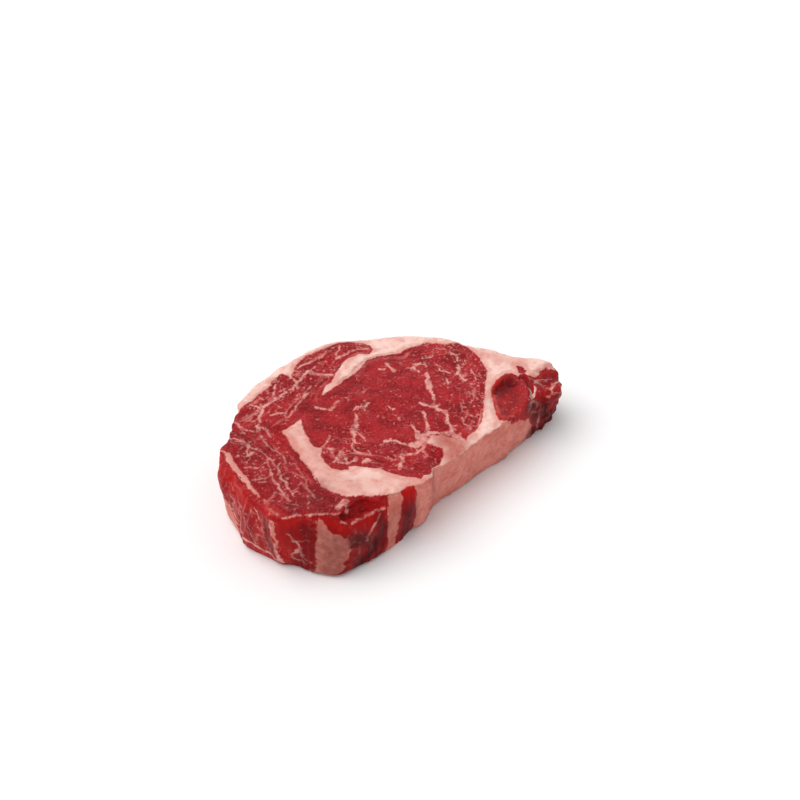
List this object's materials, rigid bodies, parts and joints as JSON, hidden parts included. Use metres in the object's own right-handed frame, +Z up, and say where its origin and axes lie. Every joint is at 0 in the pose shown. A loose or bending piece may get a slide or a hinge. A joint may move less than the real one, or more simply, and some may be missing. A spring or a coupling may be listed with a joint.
{
  "type": "raw ribeye steak",
  "caption": "Raw boneless ribeye steak lying on its cut face, marbled eye and cap muscles in a cream fat border, narrowing to a tail.",
  "frame": {"origin": "middle of the footprint, on the flat lower cut face that the steak rests on", "axes": "+X along the straight fat side towards the narrow tail, +Y towards the rounded fat cap, +Z up through the thickness"},
  "size_m": [0.184, 0.1182, 0.0382],
  "materials": {
    "raw_beef": "moist raw beef, deep red muscle with fine cream-pink marbling, a cream-pink fat kernel and a pale fat border, softly glossy"
  },
  "bodies": {
    "root": {"steak": "raw_beef"}
  },
  "joints": []
}
